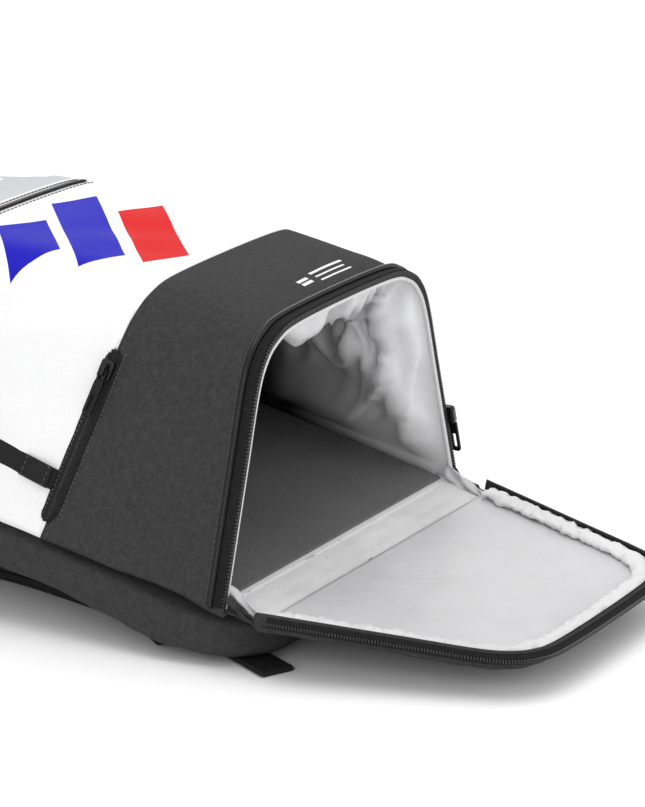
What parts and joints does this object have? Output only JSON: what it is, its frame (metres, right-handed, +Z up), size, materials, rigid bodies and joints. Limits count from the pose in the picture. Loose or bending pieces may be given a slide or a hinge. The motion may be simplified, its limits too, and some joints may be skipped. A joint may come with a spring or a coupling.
{
  "type": "racket backpack",
  "caption": "Backpack for rackets lying on its back, with a racket compartment, a main compartment under a zipped lid, and a shoe compartment whose end flap folds open.",
  "frame": {"origin": "middle of the bag's length and width on the floor that it lies on", "axes": "+X across the bag to the wearer's right, +Y towards the bag's top end, +Z up, out of the bag's front"},
  "size_m": [0.3084, 0.6668, 0.2418],
  "materials": {
    "dark_fabric": "matte woven polyester, charcoal",
    "white_fabric": "coated tarpaulin, satin white",
    "grey_lining": "coated nylon, light grey",
    "white_lining": "wrinkled nylon binding, white",
    "foam_board": "foam sheet",
    "air_mesh": "spacer mesh over foam, black",
    "webbing": "ribbed webbing, black",
    "zip_tape": "woven zip tape, black",
    "zip_metal": "gloss black lacquer",
    "pull_rubber": "black moulded pull",
    "buckle_plastic": "black acetal"
  },
  "bodies": {
    "root": {"anchor_tab_left": "webbing", "anchor_tab_right": "webbing", "back_pad_left": "air_mesh", "back_pad_right": "air_mesh", "back_panel": "air_mesh", "compartment_divider": "foam_board", "flap_hinge_strip": "dark_fabric", "front_zip_tape": "zip_tape", "handle_anchor": "webbing", "lower_shell": "dark_fabric", "lumbar_pad": "dark_fabric", "main_lining": "grey_lining", "main_zip_tape": "zip_tape", "racket_compartment": "dark_fabric", "racket_foam_board": "foam_board", "racket_zip_tape": "zip_tape", "shoe_base_insert": "foam_board", "shoe_lining": "grey_lining", "shoe_opening_piping": "zip_tape", "shoe_zip_tape": "zip_tape", "shoulder_strap_left": "dark_fabric", "shoulder_strap_right": "dark_fabric", "side_strap_left": "webbing", "side_strap_right": "webbing", "side_zip_tape_left": "zip_tape", "side_zip_tape_right": "zip_tape", "strap_webbing_left": "webbing", "strap_webbing_right": "webbing", "upper_shell": "white_fabric"},
    "shoe_flap": {"flap_outer": "dark_fabric", "flap_board": "foam_board", "flap_lining": "grey_lining", "flap_binding": "white_lining", "flap_zip_tape": "zip_tape"},
    "main_lid": {"main_lid": "white_fabric", "lid_lining": "grey_lining", "lid_zip_tape": "zip_tape"},
    "side_slider_left": {"side_slider_left": "zip_metal"},
    "side_pull_left": {"side_pull_left": "pull_rubber"},
    "side_slider_right": {"side_slider_right": "zip_metal"},
    "side_pull_right": {"side_pull_right": "pull_rubber"},
    "shoe_slider": {"shoe_slider": "zip_metal"},
    "shoe_pull": {"shoe_pull": "pull_rubber"},
    "front_slider": {"front_slider": "zip_metal"},
    "front_pull": {"front_pull": "pull_rubber"},
    "main_slider_left": {"main_slider_left": "zip_metal"},
    "main_pull_left": {"main_pull_left": "pull_rubber"},
    "main_slider_right": {"main_slider_right": "zip_metal"},
    "main_pull_right": {"main_pull_right": "pull_rubber"},
    "racket_slider": {"racket_slider": "zip_metal"},
    "racket_pull": {"racket_pull": "pull_rubber"},
    "ladder_lock_left": {"ladder_lock_left": "buckle_plastic"},
    "webbing_tail_left": {"webbing_tail_left": "webbing"},
    "ladder_lock_right": {"ladder_lock_right": "buckle_plastic"},
    "webbing_tail_right": {"webbing_tail_right": "webbing"},
    "top_handle": {"top_handle": "webbing"}
  },
  "joints": [
    {"name": "shoe_flap_fold", "type": "hinge", "parent": "root", "child": "shoe_flap", "pos_m": [0, -0.15814, 0.031], "axis": [-1, 0, 0], "range_deg": [0, 95.5]},
    {"name": "main_lid_fold", "type": "hinge", "parent": "root", "child": "main_lid", "pos_m": [0, 0.12026, 0.235], "axis": [1, 0, 0], "range_deg": [0, 75]},
    {"name": "side_slider_left_slide", "type": "slide", "parent": "root", "child": "side_slider_left", "axis": [-0.3091, 0.2649, -0.9134], "range_m": [0, 0.08]},
    {"name": "side_pull_left_swing", "type": "hinge", "parent": "side_slider_left", "child": "side_pull_left", "pos_m": [-0.12219, -0.04153, 0.1718], "axis": [0.0207, 0.9621, 0.272], "range_deg": [0, 150]},
    {"name": "side_slider_right_slide", "type": "slide", "parent": "root", "child": "side_slider_right", "axis": [0.3091, 0.2649, -0.9134], "range_m": [0, 0.08]},
    {"name": "side_pull_right_swing", "type": "hinge", "parent": "side_slider_right", "child": "side_pull_right", "pos_m": [0.12219, -0.04153, 0.1718], "axis": [0.0207, -0.9621, -0.272], "range_deg": [0, 150]},
    {"name": "shoe_slider_slide", "type": "slide", "parent": "root", "child": "shoe_slider", "axis": [-0.3035, 0, 0.9528], "range_m": [0, 0.05]},
    {"name": "shoe_pull_swing", "type": "hinge", "parent": "shoe_slider", "child": "shoe_pull", "pos_m": [0.14127, -0.14414, 0.08981], "axis": [0, -1, 0], "range_deg": [0, 150]},
    {"name": "front_slider_slide", "type": "slide", "parent": "root", "child": "front_slider", "axis": [1, 0, 0], "range_m": [0, 0.128]},
    {"name": "front_pull_swing", "type": "hinge", "parent": "front_slider", "child": "front_pull", "pos_m": [-0.064, 0.10386, 0.23969], "axis": [0, -1, 0], "range_deg": [0, 150]},
    {"name": "main_slider_left_slide", "type": "slide", "parent": "main_lid", "child": "main_slider_left", "axis": [-1, 0, 0], "range_m": [0, 0.06]},
    {"name": "main_pull_left_swing", "type": "hinge", "parent": "main_slider_left", "child": "main_pull_left", "pos_m": [-0.009, 0.32681, 0.158], "axis": [1, 0, 0], "range_deg": [0, 150]},
    {"name": "main_slider_right_slide", "type": "slide", "parent": "main_lid", "child": "main_slider_right", "axis": [1, 0, 0], "range_m": [0, 0.06]},
    {"name": "main_pull_right_swing", "type": "hinge", "parent": "main_slider_right", "child": "main_pull_right", "pos_m": [0.009, 0.32681, 0.158], "axis": [1, 0, 0], "range_deg": [0, 150]},
    {"name": "racket_slider_slide", "type": "slide", "parent": "root", "child": "racket_slider", "axis": [1, 0, 0], "range_m": [0, 0.132]},
    {"name": "racket_pull_swing", "type": "hinge", "parent": "racket_slider", "child": "racket_pull", "pos_m": [-0.066, 0.32181, 0.088], "axis": [1, 0, 0], "range_deg": [0, 150]},
    {"name": "ladder_lock_left_tilt", "type": "hinge", "parent": "root", "child": "ladder_lock_left", "pos_m": [-0.0785, -0.03214, 0.0072], "axis": [-0.8942, 0.4478, 0], "range_deg": [0, 6]},
    {"name": "webbing_tail_left_slide", "type": "slide", "parent": "root", "child": "webbing_tail_left", "axis": [-0.6157, -0.788, 0], "range_m": [0, 0.02]},
    {"name": "ladder_lock_right_tilt", "type": "hinge", "parent": "root", "child": "ladder_lock_right", "pos_m": [0.0785, -0.03214, 0.0072], "axis": [-0.8942, -0.4478, 0], "range_deg": [0, 6]},
    {"name": "webbing_tail_right_slide", "type": "slide", "parent": "root", "child": "webbing_tail_right", "axis": [0.6157, -0.788, 0], "range_m": [0, 0.02]},
    {"name": "top_handle_swing", "type": "hinge", "parent": "root", "child": "top_handle", "pos_m": [0, 0.32736, 0.121], "axis": [1, 0, 0], "range_deg": [0, 120]}
  ]
}
